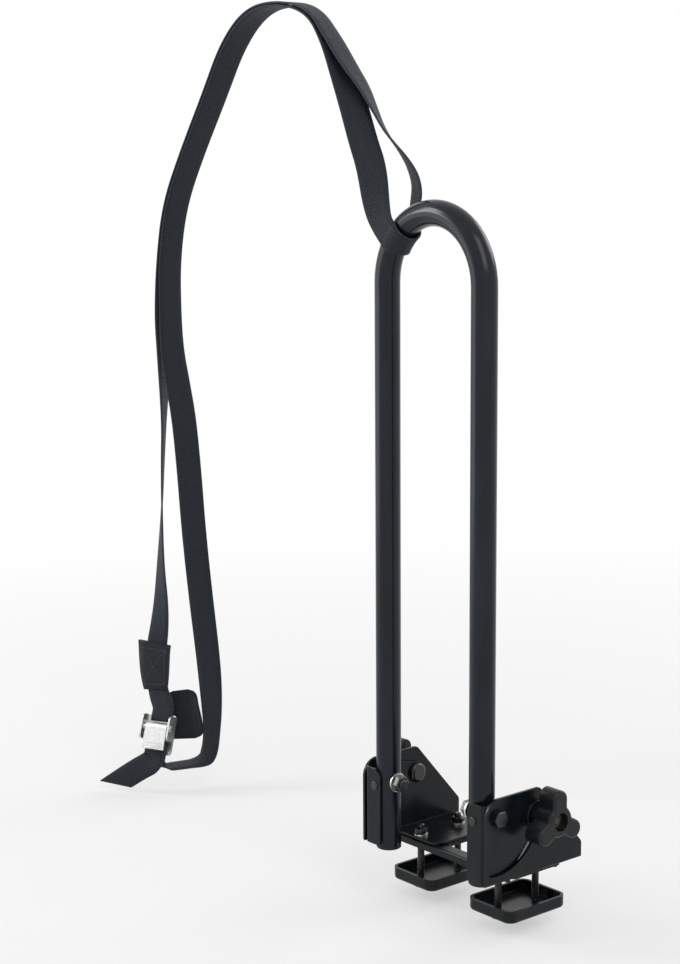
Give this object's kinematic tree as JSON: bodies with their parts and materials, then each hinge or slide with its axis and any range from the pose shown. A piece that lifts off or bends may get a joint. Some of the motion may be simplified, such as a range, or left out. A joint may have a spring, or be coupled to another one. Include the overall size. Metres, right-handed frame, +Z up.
{
  "type": "folding upright kayak carrier",
  "caption": "Folding upright kayak carrier: hairpin tube hinged between clamp-on roof bar brackets, locked by lobed knobs, with a looped webbing strap and cam buckle.",
  "frame": {"origin": "middle of the base plate's seat on the roof bar's top face", "axes": "+X along the roof bar, +Y across it towards the side that the cradle folds to, +Z up"},
  "size_m": [0.5885, 0.1198, 0.7867],
  "materials": {
    "tube_paint": "smooth gloss black powder coat",
    "bracket_paint": "satin black powder coat",
    "black_fastener": "black finish",
    "zinc_fastener": "bright zinc",
    "nylon": "black nylon",
    "cap_plastic": "moulded plastic",
    "knob_plastic": "moulded plastic with a soft sheen",
    "insert_brass": "plain brass",
    "webbing": "woven webbing, blue-black",
    "pad_fabric": "woven fabric",
    "buckle_metal": "bright zinc plate",
    "spring_steel": "plain spring steel"
  },
  "bodies": {
    "base": {"base_plate": "bracket_paint", "side_bracket_left": "bracket_paint", "side_bracket_right": "bracket_paint", "clamp_nuts_left": "black_fastener", "clamp_nuts_right": "black_fastener", "clamp_washers_left": "zinc_fastener", "clamp_washers_right": "zinc_fastener", "strap_back_lower": "webbing", "strap_front_lower": "webbing", "strap_tail": "webbing", "strap_sleeve": "pad_fabric", "buckle_frame": "buckle_metal", "buckle_pin": "buckle_metal", "buckle_spring": "spring_steel", "buckle_pad": "pad_fabric"},
    "cradle": {"cradle_tube": "tube_paint", "lock_arm_left": "bracket_paint", "lock_arm_right": "bracket_paint", "end_cap_left": "cap_plastic", "end_cap_right": "cap_plastic", "arm_rivet_left": "black_fastener", "arm_rivet_right": "black_fastener", "pivot_bolt_left": "black_fastener", "pivot_bolt_right": "black_fastener", "pivot_nut_left": "black_fastener", "pivot_nut_right": "black_fastener", "pivot_washer_left": "zinc_fastener", "pivot_washer_right": "zinc_fastener", "pivot_spacer_left": "nylon", "pivot_spacer_right": "nylon", "pivot_shim_left": "nylon", "pivot_shim_right": "nylon", "slot_shim_left": "nylon", "slot_shim_right": "nylon", "lock_stud_left": "black_fastener", "lock_stud_right": "black_fastener", "lock_washer_left": "black_fastener", "lock_washer_right": "black_fastener", "strap_wrap": "webbing", "strap_back_upper": "webbing", "strap_front_upper": "webbing"},
    "knob_left": {"knob_left": "knob_plastic", "knob_insert_left": "insert_brass"},
    "knob_right": {"knob_right": "knob_plastic", "knob_insert_right": "insert_brass"},
    "clamp_left": {"clamp_tray_left": "bracket_paint", "clamp_bolts_left": "black_fastener"},
    "clamp_right": {"clamp_tray_right": "bracket_paint", "clamp_bolts_right": "black_fastener"},
    "buckle_cam": {"buckle_cam": "buckle_metal"}
  },
  "joints": [
    {"name": "cradle_fold", "type": "hinge", "parent": "base", "child": "cradle", "pos_m": [0, -0.052, 0.0605], "axis": [-1, 0, 0], "range_deg": [0, 90]},
    {"name": "knob_turn_left", "type": "hinge", "parent": "cradle", "child": "knob_left", "pos_m": [-0.09, -0.00645, 0.0541], "axis": [-1, 0, 0], "range_deg": [0, 360]},
    {"name": "knob_turn_right", "type": "hinge", "parent": "cradle", "child": "knob_right", "pos_m": [0.09, -0.00645, 0.0541], "axis": [1, 0, 0], "range_deg": [0, 360]},
    {"name": "clamp_slide_left", "type": "slide", "parent": "base", "child": "clamp_left", "axis": [0, 0, 1], "range_m": [0, 0.006]},
    {"name": "clamp_slide_right", "type": "slide", "parent": "base", "child": "clamp_right", "axis": [0, 0, 1], "range_m": [0, 0.006]},
    {"name": "cam_press", "type": "hinge", "parent": "base", "child": "buckle_cam", "pos_m": [-0.44703, -0.03287, 0.01731], "axis": [0.9063, 0.4226, 0], "range_deg": [0, 18], "stiffness_Nm_per_rad": 0.1, "springref_deg": -11.46}
  ]
}
